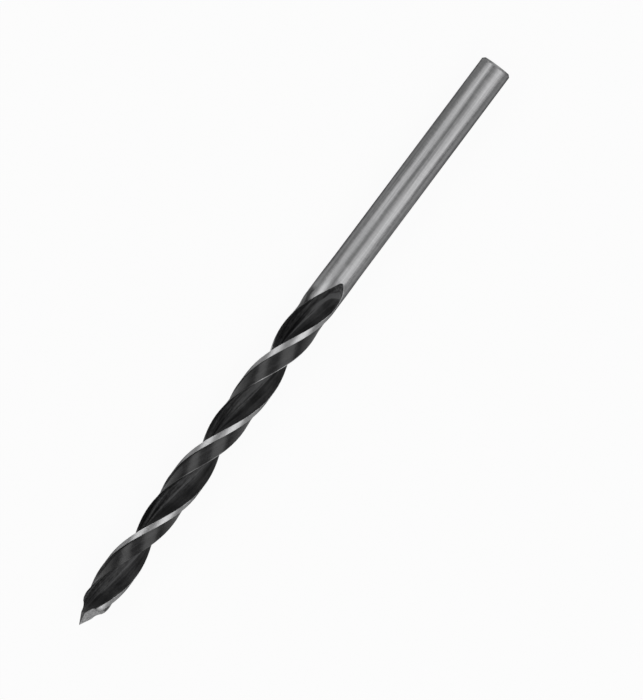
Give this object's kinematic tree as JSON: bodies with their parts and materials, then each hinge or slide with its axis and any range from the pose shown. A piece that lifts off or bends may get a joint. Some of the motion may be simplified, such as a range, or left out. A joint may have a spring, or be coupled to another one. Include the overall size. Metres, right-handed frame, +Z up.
{
  "type": "wood drill bit",
  "caption": "Slender twist bit for boring wood, with a cylindrical shank, right-hand helical flutes and a brad point with a centring spike and outer spurs.",
  "frame": {"origin": "middle of the bit's length, straight below its axis, on the surface that it lies on", "axes": "+X along the bit from the point to the end of the shank, +Z up from the surface that it lies on"},
  "size_m": [0.061, 0.003, 0.003],
  "materials": {
    "steel": "blackened tool steel, with the shank, margins and point ground bright"
  },
  "bodies": {
    "root": {"drill_bit": "steel"}
  },
  "joints": []
}
